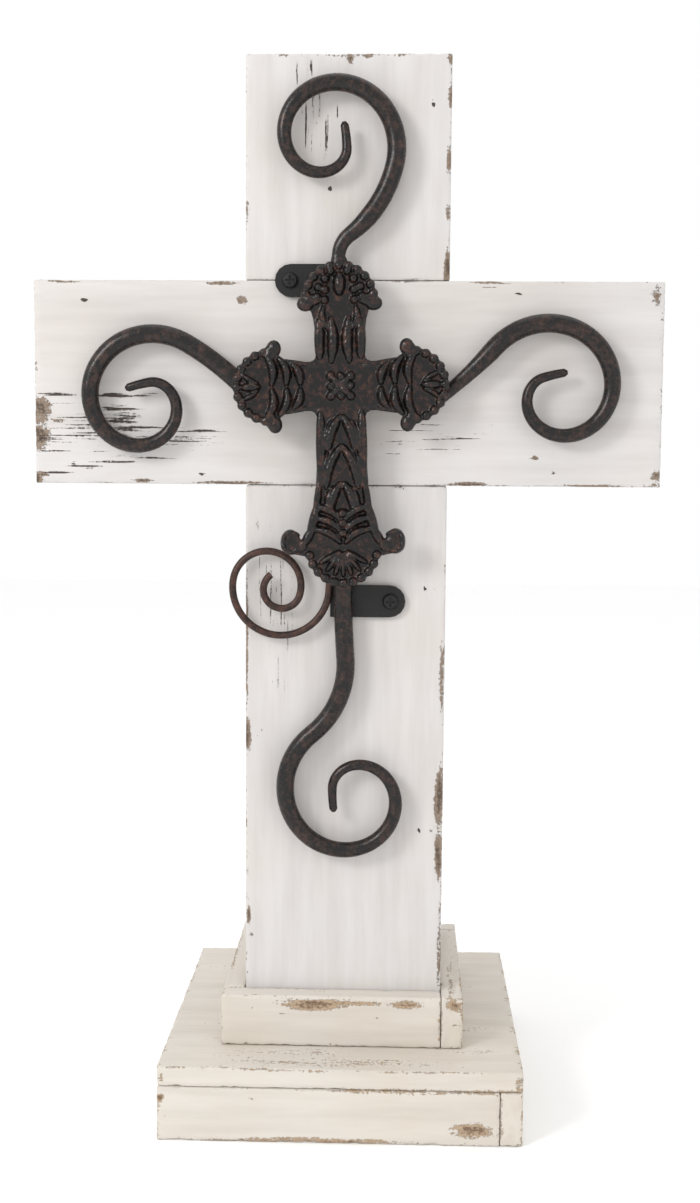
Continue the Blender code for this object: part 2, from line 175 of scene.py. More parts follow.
# %% Painted wood
STRETCH = {"X": (0.10, 1.0, 1.0), "Y": (1.0, 0.10, 1.0), "Z": (1.0, 1.0, 0.10)}
CRACK_DARK = (0.055, 0.042, 0.034)


def painted_wood(name, grain, white, bare_dark, bare_light):
    """Paint over bare wood, the grain running along one axis."""
    made = bpy.data.materials.new(name)
    made.use_nodes = True
    tree = made.node_tree
    shader = tree.nodes["Principled BSDF"]
    along = STRETCH[grain]
    fine = scaled_noise(tree, along, 900.0, 5.0)
    broad = scaled_noise(tree, along, 120.0, 4.0)
    clouds = scaled_noise(tree, (1.0, 1.0, 1.0), 14.0, 3.0)
    late_grain = tuple(value * 0.62 for value in bare_light)
    wood = ramp(tree, fine, [(0.25, bare_dark), (0.5, bare_light), (0.75, late_grain)])
    yellowed = tuple(value * tint for value, tint in zip(white, (0.97, 0.945, 0.90)))
    coat = mix(tree, ramp(tree, clouds, [(0.40, (0, 0, 0)), (0.75, (1, 1, 1))]), white, yellowed)
    streak = ramp(tree, broad, [(0.30, (0.86, 0.85, 0.84)), (0.60, (1.0, 1.0, 1.0))])
    brushed = add_node(tree, "ShaderNodeMix", {0: 0.75}, data_type="RGBA", blend_type="MULTIPLY")
    tree.links.new(coat, brushed.inputs[6])
    tree.links.new(streak, brushed.inputs[7])
    flake = combine(tree, "ADD", attribute(tree, "wear"), combine(tree, "MULTIPLY", broad, 0.9))
    flake = combine(tree, "ADD", flake, combine(tree, "MULTIPLY", fine, 0.35))
    speckle = scaled_noise(tree, (1.0, 1.0, 1.0), 620.0, 5.0, 0.75)
    flake = combine(tree, "ADD", flake, combine(tree, "MULTIPLY", speckle, 0.9))
    flake = combine(tree, "MULTIPLY", flake, 0.5)
    flaked = ramp(tree, flake, [(0.712, (0, 0, 0)), (0.724, (1, 1, 1))])
    # Each chip gets a thin dark rim just inside its edge, at half the dark wood's colour. It is partly a
    # painted shadow of the paint's raised edge on the bare wood, and partly dirt.
    chip_rim_shadow_and_dirt = ramp(tree, flake, [(0.720, (1, 1, 1)), (0.745, (0, 0, 0))])
    wood = mix(tree, chip_rim_shadow_and_dirt, wood, tuple(v * 0.5 for v in bare_dark))
    wood = mix(tree, ramp(tree, flake, [(0.77, (0, 0, 0)), (0.84, (1, 1, 1))]), wood, bare_dark)
    split = scaled_noise(tree, tuple(v * 0.40 if v < 1 else v for v in along), 760.0, 3.0)
    split = combine(tree, "ADD", combine(tree, "MULTIPLY", attribute(tree, "crack"), 0.25), split)
    split = combine(tree, "ADD", combine(tree, "MULTIPLY", speckle, 0.35), split)
    split = combine(tree, "MULTIPLY", split, 0.8)
    cracked = ramp(tree, split, [(0.775, (0, 0, 0)), (0.810, (1, 1, 1))])
    colour = mix(tree, flaked, brushed.outputs[2], wood)
    colour = mix(tree, cracked, colour, CRACK_DARK)
    tree.links.new(colour, shader.inputs["Base Color"])
    shader.inputs["Roughness"].default_value = 0.62
    shader.inputs["Specular IOR Level"].default_value = 0.35
    depth = combine(tree, "SUBTRACT", combine(tree, "MULTIPLY", broad, 0.25), flaked)
    depth = combine(tree, "SUBTRACT", depth, combine(tree, "MULTIPLY", cracked, 1.6))
    bump = add_node(tree, "ShaderNodeBump", {"Strength": 0.55, "Distance": 0.0004})
    tree.links.new(depth, bump.inputs["Height"])
    tree.links.new(bump.outputs["Normal"], shader.inputs["Normal"])
    return made


CROSS_WHITE = (0.615, 0.592, 0.580)
PLINTH_WHITE = (0.655, 0.612, 0.556)
GREY_WOOD = ((0.085, 0.060, 0.043), (0.29, 0.22, 0.165))
TAN_WOOD = ((0.17, 0.11, 0.07), (0.50, 0.375, 0.255))
cross_paint = {}
plinth_paint = {}
for axis in "XYZ":
    cross_paint[axis] = painted_wood("cross_paint_" + axis.lower(), axis, CROSS_WHITE, *GREY_WOOD)
    plinth_paint[axis] = painted_wood("plinth_paint_" + axis.lower(), axis, PLINTH_WHITE, *TAN_WOOD)
print("paints", len(cross_paint) + len(plinth_paint))


# %% [markdown]
# ## A board
# A board is a cube at the board's size, bevelled a little and cut into small cells in edit mode. Its edges
# are then nibbled inwards in code, because worn arrises are uneven in a way no single operator gives. Every
# vertex only ever moves inwards, so the board stays inside the place the model gives it.

# %% Start each piece with nothing selected
def only(piece):
    """Make a piece the only one selected."""
    bpy.ops.object.select_all(action="DESELECT")
    piece.select_set(True)
    bpy.context.view_layer.objects.active = piece


def bake_place(piece):
    """Put a piece's place into its mesh, so that its object sits at the origin."""
    only(piece)
    bpy.ops.object.transform_apply(location=True, rotation=True, scale=True)


def vertex_places(piece):
    """All vertices of a mesh as rows of x, y, z."""
    flat = np.empty(len(piece.data.vertices) * 3)
    piece.data.vertices.foreach_get("co", flat)
    return flat.reshape(-1, 3)


# %% Cut a cube into cells along one axis
def cut_along(piece, axis, cuts):
    """Subdivide every edge of a board that runs along an axis."""
    bpy.ops.object.mode_set(mode="OBJECT")
    spots = vertex_places(piece)
    ends = np.empty(len(piece.data.edges) * 2, dtype=int)
    piece.data.edges.foreach_get("vertices", ends)
    ends = ends.reshape(-1, 2)
    reach = np.abs(spots[ends[:, 0]] - spots[ends[:, 1]])
    across = np.delete(reach, axis, axis=1).max(axis=1)
    along = (across < 1e-6) & (reach[:, axis] > 0.002)
    bpy.ops.object.mode_set(mode="EDIT")
    bpy.ops.mesh.select_mode(type="EDGE")
    bpy.ops.mesh.select_all(action="DESELECT")
    bpy.ops.object.mode_set(mode="OBJECT")
    piece.data.edges.foreach_set("select", along)
    bpy.ops.object.mode_set(mode="EDIT")
    bpy.ops.mesh.subdivide(number_cuts=cuts)
    bpy.ops.object.mode_set(mode="OBJECT")


# %% Wear on one board
ARRIS = 0.0016
EDGE_REACH = 0.0030
NIBBLE = 0.0011
BROKEN = 0.66
MARK_FADE = 1.35
SPLIT_FADE = 1.4
BEVEL = 0.0007


def edge_distance(spots, low, high):
    """How far each vertex is from the nearest long arris of its board."""
    near = np.minimum(spots - low, high - spots)
    near.sort(axis=1)
    return near[:, 1]


def wear_board(piece, low, high, rub, marks, splits):
    """Nibble the arrises, and write the wear and crack numbers on the vertices."""
    spots = vertex_places(piece)
    distance = edge_distance(spots, low, high)
    middle = (low + high) / 2
    moved = spots.copy()
    for index in np.nonzero(distance < ARRIS)[0]:
        place = Vector(spots[index])
        bite = max(0.0, noise.noise(place * 160.0) * 0.7 + noise.noise(place * 520.0) * 0.5)
        inward = np.sign(middle - spots[index])
        near = np.minimum(spots[index] - low, high - spots[index]) < ARRIS
        moved[index] += inward * near * bite * NIBBLE * (1.0 - distance[index] / ARRIS)
    piece.data.vertices.foreach_set("co", moved.ravel())
    wear = np.clip(1.0 - distance / EDGE_REACH, 0.0, 1.0) * rub
    for x, z, across, up, amount in marks:
        away = np.hypot((spots[:, 0] - x) / across, (spots[:, 2] - z) / up)
        wear = np.maximum(wear, np.clip(MARK_FADE - away, 0.0, 1.0) * amount * BROKEN)
    crack = np.zeros(len(spots))
    for x, z, across, up, amount in splits:
        away = np.hypot((spots[:, 0] - x) / across, (spots[:, 2] - z) / up)
        crack = np.maximum(crack, np.clip(SPLIT_FADE - away, 0.0, 1.0) * amount)
    for name, values in (("wear", wear), ("crack", crack)):
        layer = piece.data.attributes.new(name, "FLOAT", "POINT")
        layer.data.foreach_set("value", values.astype(np.float32))


def make_board(node, grain, paints, cell, rub, marks=(), splits=()):
    """A worn board that stands for one node."""
    low, high = (np.array(corner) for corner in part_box(node))
    bpy.ops.object.select_all(action="DESELECT")
    bpy.ops.mesh.primitive_cube_add(size=1.0, location=tuple((low + high) / 2))
    piece = bpy.context.object
    piece.name = node + "_board"
    piece.scale = tuple(high - low)
    bake_place(piece)
    bpy.ops.object.mode_set(mode="EDIT")
    bpy.ops.mesh.select_all(action="SELECT")
    bpy.ops.mesh.bevel(offset=BEVEL, segments=2, affect="EDGES")
    bpy.ops.object.mode_set(mode="OBJECT")
    for axis in range(3):
        cuts = int((high - low)[axis] / cell) - 1
        if cuts > 0:
            cut_along(piece, axis, cuts)
    wear_board(piece, low, high, rub, marks, splits)
    only(piece)
    bpy.ops.object.shade_smooth_by_angle(angle=math.radians(35))
    piece.data.materials.append(paints[grain])
    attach(piece, "root")
    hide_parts(node)
    print(piece.name, len(piece.data.polygons), "faces")


# %% [markdown]
# ## Where the front is worn
# Each mark is (x, z, half width, half height, amount) in metres: knots, chips and rubbed patches that a
# person would point at. A split patch is the same, and the shader fills it with fine cracks along the grain.

# %% Marks on the cross's front
STUB_MARKS = [(0.001, 0.529, 0.050, 0.0012, 0.50), (0.0005, 0.5275, 0.0022, 0.0034, 0.85),
              (0.0485, 0.527, 0.003, 0.004, 0.60), (0.0493, 0.510, 0.0018, 0.008, 0.75),
              (0.0490, 0.479, 0.0022, 0.010, 0.80), (0.0490, 0.455, 0.0020, 0.007, 0.75),
              (0.0488, 0.428, 0.0024, 0.012, 0.85), (-0.0492, 0.456, 0.0014, 0.008, 0.65),
              (0.041, 0.508, 0.0012, 0.0012, 0.70)]
STUB_SPLITS = [(-0.0254, 0.522, 0.0008, 0.007, 1.6), (-0.0189, 0.525, 0.0008, 0.005, 1.6),
               (-0.0206, 0.4945, 0.0009, 0.017, 1.6), (-0.0105, 0.494, 0.0009, 0.022, 1.5),
               (-0.0056, 0.5025, 0.0008, 0.005, 1.5), (-0.016, 0.500, 0.012, 0.028, 0.80),
               (-0.0090, 0.466, 0.0020, 0.0014, 1.8), (0.041, 0.506, 0.0010, 0.0010, 2.6)]
BEAM_MARKS = [(-0.153, 0.357, 0.008, 0.0100, 0.85), (-0.154, 0.345, 0.007, 0.0090, 0.80),
              (-0.143, 0.353, 0.007, 0.0016, 0.80), (-0.152, 0.3265, 0.006, 0.0014, 0.90),
              (-0.140, 0.4212, 0.011, 0.0010, 0.90), (-0.062, 0.4208, 0.012, 0.0010, 0.90),
              (-0.052, 0.413, 0.0030, 0.0032, 0.92), (-0.058, 0.3228, 0.024, 0.0011, 0.90),
              (-0.154, 0.3235, 0.0030, 0.0030, 1.00), (-0.101, 0.3235, 0.006, 0.0014, 0.95),
              (0.1510, 0.415, 0.0040, 0.007, 0.80), (0.069, 0.4212, 0.014, 0.0010, 0.80),
              (0.1530, 0.327, 0.003, 0.005, 0.75), (0.060, 0.3230, 0.013, 0.0012, 0.85),
              (0.0925, 0.336, 0.0030, 0.0016, 0.75), (0.120, 0.3225, 0.030, 0.0009, 0.62),
              (0.100, 0.4214, 0.020, 0.0008, 0.60)]
BEAM_SPLITS = [(-0.122, 0.350, 0.032, 0.016, 1.00), (-0.080, 0.346, 0.034, 0.009, 0.90),
               (-0.143, 0.366, 0.016, 0.0010, 1.5), (-0.117, 0.366, 0.012, 0.0013, 1.9),
               (-0.100, 0.366, 0.009, 0.0010, 1.5), (-0.114, 0.3590, 0.013, 0.0009, 1.55),
               (-0.108, 0.355, 0.014, 0.0010, 1.45), (-0.112, 0.352, 0.013, 0.0008, 1.35),
               (-0.103, 0.350, 0.018, 0.0010, 1.6), (-0.065, 0.349, 0.020, 0.0008, 1.4),
               (-0.140, 0.346, 0.018, 0.0010, 1.6), (-0.145, 0.343, 0.012, 0.0009, 1.5),
               (-0.146, 0.338, 0.012, 0.0010, 1.7), (-0.145, 0.3275, 0.011, 0.0010, 1.7),
               (-0.129, 0.3300, 0.015, 0.0009, 1.7), (-0.114, 0.3325, 0.015, 0.0009, 1.6),
               (-0.098, 0.3350, 0.014, 0.0009, 1.5), (0.069, 0.4190, 0.009, 0.0008, 1.5),
               (0.045, 0.345, 0.050, 0.012, 0.74), (-0.125, 0.376, 0.010, 0.004, 0.62),
               (-0.130, 0.412, 0.0011, 0.0009, 3.0), (-0.076, 0.417, 0.0011, 0.0009, 3.0),
               (-0.135, 0.332, 0.0012, 0.0010, 3.0), (0.1015, 0.329, 0.0011, 0.0010, 3.0),
               (-0.071, 0.3265, 0.0012, 0.0010, 3.0), (0.083, 0.416, 0.0016, 0.0008, 3.0)]
SHAFT_MARKS = [(-0.0494, 0.240, 0.0014, 0.050, 0.72), (-0.0490, 0.196, 0.0022, 0.012, 0.90),
               (0.0487, 0.225, 0.0022, 0.030, 0.70), (0.0480, 0.165, 0.0032, 0.020, 0.88),
               (0.0482, 0.135, 0.0028, 0.016, 0.88), (0.0490, 0.085, 0.0018, 0.030, 0.68),
               (-0.0485, 0.102, 0.0016, 0.006, 0.85), (-0.0470, 0.092, 0.0014, 0.0018, 0.80),
               (0.0445, 0.270, 0.0012, 0.0014, 0.75), (0.010, 0.224, 0.0010, 0.0010, 0.75),
               (0.0445, 0.147, 0.0012, 0.0014, 0.75), (-0.042, 0.198, 0.0010, 0.0012, 0.75)]
SHAFT_SPLITS = [(-0.036, 0.255, 0.014, 0.050, 0.84), (-0.0442, 0.302, 0.0008, 0.006, 1.6),
                (0.0400, 0.270, 0.0010, 0.0014, 2.6), (-0.0440, 0.196, 0.0010, 0.0010, 2.6),
                (0.0080, 0.224, 0.0010, 0.0010, 2.4), (0.0380, 0.147, 0.0010, 0.0012, 2.6)]

# %% Marks on the plinth's front
STEP_MARKS = [(-0.004, 0.0605, 0.044, 0.0022, 0.72), (-0.014, 0.0590, 0.022, 0.0046, 0.86),
              (0.032, 0.0600, 0.011, 0.0034, 0.84), (-0.030, 0.054, 0.010, 0.0012, 0.70),
              (-0.0455, 0.0570, 0.0011, 0.0011, 0.80), (0.018, 0.0530, 0.0012, 0.0012, 0.80)]
STEP_END_MARKS = [(0.0560, 0.0600, 0.0055, 0.0040, 0.84), (0.0575, 0.0500, 0.0050, 0.0012, 0.68)]
PANEL_MARKS = [(0.0, 0.0365, 0.092, 0.0014, 0.64), (0.088, 0.033, 0.003, 0.005, 0.70),
               (-0.088, 0.033, 0.002, 0.005, 0.66)]
BASE_MARKS = [(0.066, 0.0080, 0.013, 0.0060, 0.78), (0.0, 0.0012, 0.085, 0.0014, 0.68),
              (-0.043, 0.0225, 0.0026, 0.0016, 0.72), (0.0715, 0.0165, 0.0030, 0.0026, 0.60),
              (-0.0860, 0.0120, 0.0012, 0.0012, 0.80), (-0.0885, 0.0220, 0.0020, 0.0030, 0.80)]
print("marks", len(STUB_MARKS) + len(BEAM_MARKS) + len(SHAFT_MARKS) + len(STEP_MARKS) + len(BASE_MARKS))

# %% [markdown]
# ## All the boards
# The three front boards get small cells, because the eye rests there. The hidden sides get larger cells and
# no marks of their own beyond rubbed edges, in keeping with the front and plainer.

# %% The cross's boards
FINE_CELL = 0.0011
SIDE_CELL = 0.0035
CROSS_RUB = 0.27
make_board("front_stub", "Z", cross_paint, FINE_CELL, CROSS_RUB, STUB_MARKS, STUB_SPLITS)
make_board("front_beam", "X", cross_paint, FINE_CELL, CROSS_RUB, BEAM_MARKS, BEAM_SPLITS)
make_board("front_shaft", "Z", cross_paint, FINE_CELL, CROSS_RUB, SHAFT_MARKS, SHAFT_SPLITS)
for node in ("back_stub", "back_shaft", "stub_side_left", "stub_side_right", "shaft_side_left",
             "shaft_side_right", "arm_end_left", "arm_end_right"):
    make_board(node, "Z", cross_paint, SIDE_CELL, CROSS_RUB)
for node in ("back_beam", "arm_top_left", "arm_top_right", "arm_bottom_left", "arm_bottom_right", "top_cap"):
    make_board(node, "X", cross_paint, SIDE_CELL, CROSS_RUB)

# %% The plinth's boards
PLINTH_CELL = 0.0015
PANEL_CELL = 0.0020
PLINTH_RUB = 0.36
make_board("step_front", "X", plinth_paint, PLINTH_CELL, PLINTH_RUB, STEP_MARKS)
make_board("step_right", "Y", plinth_paint, PLINTH_CELL, PLINTH_RUB, STEP_END_MARKS)
make_board("step_back", "X", plinth_paint, SIDE_CELL, PLINTH_RUB)
make_board("step_left", "Y", plinth_paint, SIDE_CELL, PLINTH_RUB)
make_board("base_panel", "X", plinth_paint, PANEL_CELL, PLINTH_RUB, PANEL_MARKS)
make_board("base_front", "X", plinth_paint, PLINTH_CELL, PLINTH_RUB, BASE_MARKS)
make_board("base_right", "Y", plinth_paint, PLINTH_CELL, PLINTH_RUB)
make_board("base_back", "X", plinth_paint, SIDE_CELL, PLINTH_RUB)
make_board("base_left", "Y", plinth_paint, SIDE_CELL, PLINTH_RUB)


# %% [markdown]
# ## Rusty iron
# The ironwork is nearly black, with brown rust in soft patches and a worn shine on top of the hammer marks.
# Roughness varies with the same noise as the rust, since rust is dull and rubbed iron is not.

# %% Iron finishes
def iron_finish(name, dark, rust, rust_share, shine):
    """Dark metal with rust patches, pits and an uneven shine."""
    made = bpy.data.materials.new(name)
    made.use_nodes = True
    tree = made.node_tree
    shader = tree.nodes["Principled BSDF"]
    patches = scaled_noise(tree, (1.0, 1.0, 1.0), 300.0, 6.0, 0.72)
    pits = scaled_noise(tree, (1.0, 1.0, 1.0), 1100.0, 3.0)
    rusted = ramp(tree, patches, [(0.50 - rust_share, (0, 0, 0)), (0.74 - rust_share, (1, 1, 1))])
    colour = mix(tree, rusted, dark, rust)
    pitted = ramp(tree, pits, [(0.30, (1, 1, 1)), (0.42, (0, 0, 0))])
    tree.links.new(mix(tree, pitted, colour, (0.004, 0.003, 0.003)), shader.inputs["Base Color"])
    shader.inputs["Metallic"].default_value = 0.35
    rough = add_node(tree, "ShaderNodeMapRange", {"To Min": shine, "To Max": shine + 0.30})
    tree.links.new(patches, rough.inputs["Value"])
    tree.links.new(rough.outputs["Result"], shader.inputs["Roughness"])
    bump = add_node(tree, "ShaderNodeBump", {"Strength": 0.5, "Distance": 0.00025})
    height = combine(tree, "ADD", patches, combine(tree, "MULTIPLY", pits, 0.6))
    tree.links.new(height, bump.inputs["Height"])
    tree.links.new(bump.outputs["Normal"], shader.inputs["Normal"])
    return made


scroll_iron = iron_finish("scroll_iron", (0.009, 0.0078, 0.0075), (0.066, 0.034, 0.025), 0.03, 0.13)
cast_iron = iron_finish("cast_iron", (0.008, 0.0068, 0.0065), (0.095, 0.038, 0.024), 0.00, 0.08)
wire_iron = iron_finish("wire_iron", (0.018, 0.010, 0.008), (0.080, 0.033, 0.022), 0.10, 0.30)
fixing_black = iron_finish("fixing_black", (0.010, 0.009, 0.009), (0.028, 0.020, 0.017), -0.08, 0.30)
print("irons", [finish.name for finish in (scroll_iron, cast_iron, wire_iron, fixing_black)])


# %% [markdown]
# ## The scrolls
# A smith draws a bar down to a thin tip and bends it cold into a scroll, so the bar is thickest on its
# biggest curve. A path with a round bevel and a radius at each point says that directly. The curl's radius
# falls steadily with the turn. The neck is then flattened a little, as the hammer leaves it.

# %% A scroll's path
BEAM_MIDDLE = 0.372
WOOD_FACE = 0.050
ROD_OFFSET = 0.0078
ROD_RADIUS = 0.0046
TIP_RADIUS = 0.0020
NECK_RADIUS = 0.0031
ROOT = 0.013
TIP_BEND = 0.070
NECK_REACH = 0.022
FINE_STEP = 4.0


def scroll_points(start, heading, bends, curl, side, tip):
    """Points along a scroll and how far each is along it, from 0 to 1."""
    angle = math.radians(heading)
    spot = Vector(start)
    points = [spot - Vector((math.cos(angle), math.sin(angle))) * ROOT, spot.copy()]
    outer, inner, turn = curl
    stretches = [(radius, radius, sweep) for radius, sweep in bends]
    stretches.append((side * outer, side * inner, turn))
    if tip:
        stretches.append((side * TIP_BEND, side * TIP_BEND, tip))
    for first, last, sweep in stretches:
        steps = max(8, round(sweep / FINE_STEP))
        turn_step = math.radians(sweep) / steps
        for index in range(steps):
            radius = first + (last - first) * (index + 0.5) / steps
            angle += math.copysign(turn_step, radius) / 2
            spot = spot + Vector((math.cos(angle), math.sin(angle))) * abs(radius) * turn_step
            angle += math.copysign(turn_step, radius) / 2
            points.append(spot.copy())
    lengths = np.concatenate([[0.0], np.cumsum([(b - a).length for a, b in zip(points, points[1:])])])
    return points, lengths / lengths[-1]


# %% Drawn down by the smith
ROUND_TIP = 0.999
SPREAD_END = 0.067
SPREAD_FADE = 0.02
NECK_END = 0.18
TAPER_START = 0.35
TAPER_EASING = 1.6


def rod_thickness(share, narrow_neck):
    """Full on the big curve, drawn down to a rounded tip, and spread at the root where asked."""
    if share > ROUND_TIP:
        return TIP_RADIUS / ROD_RADIUS * 0.5
    if narrow_neck == "spread" and share < SPREAD_END:
        return 0.72 + 0.40 * min(1.0, (SPREAD_END - share) / SPREAD_FADE)
    if share > TAPER_START:
        drawn = ((share - TAPER_START) / (1.0 - TAPER_START)) ** TAPER_EASING
        return 1.0 - drawn * (1.0 - TIP_RADIUS / ROD_RADIUS)
    if narrow_neck and share < NECK_END:
        neck = NECK_RADIUS / ROD_RADIUS
        return neck + (1.0 - neck) * (share / NECK_END) ** 2
    return 1.0


# %% Marks of the hammer
DENT_SCALE = 210.0
DENT_DEPTH = 0.00035
NECK_FLATNESS = 0.35


def hammer_rod(piece, depth, neck):
    """Shallow forging dents, pressed inwards only, and a flattened neck."""
    spots = vertex_places(piece)
    for index, spot in enumerate(spots):
        dent = max(0.0, noise.noise(Vector(spot) * DENT_SCALE)) * DENT_DEPTH
        spots[index][1] += math.copysign(dent, depth - spot[1])
        flat = max(0.0, 1.0 - math.dist((spot[0], spot[2]), neck) / NECK_REACH)
        spots[index][1] = depth + (spots[index][1] - depth) * (1.0 - NECK_FLATNESS * flat)
    piece.data.vertices.foreach_set("co", spots.ravel())


# %% One rod
def make_rod(node, finish, path, radius, offset, tapered, narrow_neck):
    """A rod along a scroll's path, standing for one node."""
    points, shares = scroll_points(*path)
    line = bpy.data.curves.new(node + "_path", "CURVE")
    line.dimensions = "3D"
    line.bevel_depth = radius
    line.bevel_resolution = 6
    line.use_fill_caps = True
    spline = line.splines.new("POLY")
    spline.points.add(len(points) - 1)
    depth = -(WOOD_FACE + offset)
    for point, spot, share in zip(spline.points, points, shares):
        point.co = (spot.x, depth, BEAM_MIDDLE + spot.y, 1.0)
        point.radius = rod_thickness(share, narrow_neck) if tapered else 1.0
    piece = bpy.data.objects.new(node + "_rod", line)
    bpy.context.scene.collection.objects.link(piece)
    only(piece)
    bpy.ops.object.convert(target="MESH")
    piece = bpy.context.object
    bpy.ops.object.mode_set(mode="EDIT")
    bpy.ops.mesh.select_all(action="SELECT")
    bpy.ops.mesh.remove_doubles(threshold=0.00001)
    bpy.ops.mesh.normals_make_consistent(inside=False)
    bpy.ops.object.mode_set(mode="OBJECT")
    hammer_rod(piece, depth, (points[1].x, BEAM_MIDDLE + points[1].y))
    only(piece)
    bpy.ops.object.shade_smooth_by_angle(angle=math.radians(50))
    piece.data.materials.append(finish)
    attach(piece, "root")
    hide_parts(node)
    print(piece.name, len(piece.data.polygons), "faces")


# %% The four scrolls and the wire
WIRE_RADIUS = 0.0018
WIRE_OFFSET = 0.0055
TOP_PATH = ((-0.004, 0.059), 97.0, [(-0.013, 60.0), (0.058, 40.0)], (0.034, 0.009, 375.0), 1, 10.0)
LEFT_PATH = ((-0.055, 0.002), 138.0, [(0.136, 12.0)], (0.035, 0.009, 400.0), 1, 10.0)
RIGHT_PATH = ((0.052, -0.002), 40.0, [(0.200, 8.0)], (0.037, 0.009, 390.0), -1, 10.0)
BOTTOM_PATH = ((-0.001, -0.102), -89.0, [(0.650, 3.0), (-0.045, 55.0)], (0.037, 0.010, 410.0), 1, 10.0)
WIRE_PATH = ((-0.008, -0.102), -93.0, [(-0.024, 185.0), (-0.017, 190.0)], (0.009, 0.0095, 215.0), -1, 0.0)
make_rod("top_scroll", scroll_iron, TOP_PATH, ROD_RADIUS, ROD_OFFSET, True, "spread")
make_rod("left_scroll", scroll_iron, LEFT_PATH, ROD_RADIUS, ROD_OFFSET, True, False)
make_rod("right_scroll", scroll_iron, RIGHT_PATH, ROD_RADIUS, ROD_OFFSET, True, True)
make_rod("bottom_scroll", scroll_iron, BOTTOM_PATH, ROD_RADIUS, ROD_OFFSET, True, False)
make_rod("wire_spiral", wire_iron, WIRE_PATH, WIRE_RADIUS, WIRE_OFFSET, False, False)


# %% [markdown]
# ## The medallion
# The small cross in the middle is one casting: a plate with a beaded rim round each end, leaves, ribs and
# berries. A carver would press each form into clay and take a mould, which melts the joins together. Here the
# forms are added one by one, joined, and remeshed into one skin, and a light smoothing softens the joins.

# %% Medallion sizes
GAP = 0.0003
CENTRE = (-0.0024, -0.0018)
TURN = math.radians(1.2)
PLATE = 0.0034
ARM = 0.0118
TOP_HEAD = 0.041
SIDE_HEAD = 0.034
BOTTOM_HEAD = 0.079
HEAD = 0.0180
BEAD = 0.0024
BEADS = 11
EAR = (0.0257, -0.0753)
ROUNDING = 0.0035
VOXEL = 0.00051
forms = []


def plane_place(across, up, out):
    """A matrix at a spot on the medallion, its Z axis out of the wood."""
    back = WOOD_FACE + ROD_OFFSET + ROD_RADIUS + GAP
    place = Matrix.Translation((CENTRE[0], -back, BEAM_MIDDLE + CENTRE[1]))
    upright = Matrix.Rotation(math.radians(90), 4, "X") @ Matrix.Rotation(TURN, 4, "Z")
    return place @ upright @ Matrix.Translation((across, up, out))


def add_lobe(spot, size, turn=0.0, out=PLATE * 0.9):
    """One pressed form: half length, half width and height."""
    bpy.ops.object.select_all(action="DESELECT")
    bpy.ops.mesh.primitive_uv_sphere_add(segments=20, ring_count=12, radius=1.0)
    lobe = bpy.context.object
    turned = Matrix.Rotation(math.radians(turn), 4, "Z")
    lobe.matrix_world = plane_place(*spot, out) @ turned @ Matrix.Diagonal((*size, 1.0))
    forms.append(lobe)


def add_slab(points, thickness):
    """A flat shape from its outline, as a filled face extruded forwards."""
    bpy.ops.object.select_all(action="DESELECT")
    bpy.ops.mesh.primitive_circle_add(vertices=len(points), radius=0.01, fill_type="NGON")
    slab = bpy.context.object
    for vertex, (across, up) in zip(slab.data.vertices, points):
        vertex.co = (across, up, 0.0)
    bpy.ops.object.mode_set(mode="EDIT")
    bpy.ops.mesh.select_all(action="SELECT")
    bpy.ops.mesh.extrude_region_move(TRANSFORM_OT_translate={"value": (0.0, 0.0, thickness)})
    bpy.ops.mesh.select_all(action="SELECT")
    bpy.ops.mesh.normals_make_consistent(inside=False)
    bpy.ops.object.mode_set(mode="OBJECT")
    slab.matrix_world = plane_place(0.0, 0.0, 0.0)
    forms.append(slab)


def around(centre, outward, radius, angle):
    """A spot round a head's centre, the angle counted from the way it points."""
    turn = math.radians(outward + angle)
    return centre[0] + radius * math.cos(turn), centre[1] + radius * math.sin(turn)


# %% The plate and its four ends
HEAD_SWEEP = 95
HEAD_STEPS = 24
BEAD_SPREAD = 80
TOP_REACH = 0.0208
SIDE_REACH = 0.0226
TUCK = 0.002


def add_head(centre, outward, reach):
    """A half round end with a ring of beads, and corner lobes out to a reach."""
    turns = [-HEAD_SWEEP + 2 * HEAD_SWEEP * step / HEAD_STEPS for step in range(HEAD_STEPS + 1)]
    add_slab([around(centre, outward, HEAD, turn) for turn in turns], PLATE)
    for index in range(BEADS):
        turn = -BEAD_SPREAD + 2 * BEAD_SPREAD * index / (BEADS - 1)
        add_lobe(around(centre, outward, HEAD - BEAD * 0.6, turn), (BEAD, BEAD, BEAD))
    if reach:
        for side in (-1, 1):
            add_lobe(around(centre, outward, reach - 0.0042, side * 96), (0.0036, 0.0042, 0.0030), outward)
            add_lobe(around(centre, outward, reach - 0.0070, side * 90), (0.0030, 0.0050, 0.0028), outward)


def mirrored(edge):
    """An outline from its right hand edge, listed from one end to the other."""
    return edge + [(-across, up) for across, up in reversed(edge)]


arm_edge = [(ARM + 0.0036, SIDE_HEAD), (ARM + 0.0014, SIDE_HEAD - 0.007), (ARM, SIDE_HEAD - 0.016)]
arm_edge += [(across, -out) for across, out in reversed(arm_edge)]
add_slab([(out, across) for across, out in mirrored(arm_edge)], PLATE)
shaft_edge = [(ARM + 0.0036, TOP_HEAD), (ARM + 0.0010, TOP_HEAD - 0.009), (ARM, TOP_HEAD - 0.018),
              (ARM, -0.030), (ARM + 0.0010, -0.048), (ARM + 0.0027, -0.060), (ARM + 0.0054, -0.0705),
              (ARM + 0.0080, -0.0750), (EAR[0], -0.0765), (EAR[0], -0.0810), (HEAD, -0.0825)]
add_slab(mirrored(shaft_edge), PLATE)
for right in (-1, 1):
    for top in (-1, 1):
        hollow = (ARM + ROUNDING, ARM + ROUNDING)
        rounding = [(ARM - TUCK, ARM - TUCK), (ARM + ROUNDING, ARM - TUCK)]
        rounding += [around(hollow, 270, ROUNDING, -15 * step) for step in range(7)]
        rounding += [(ARM - TUCK, ARM + ROUNDING)]
        add_slab([(right * across, top * up) for across, up in rounding], PLATE)
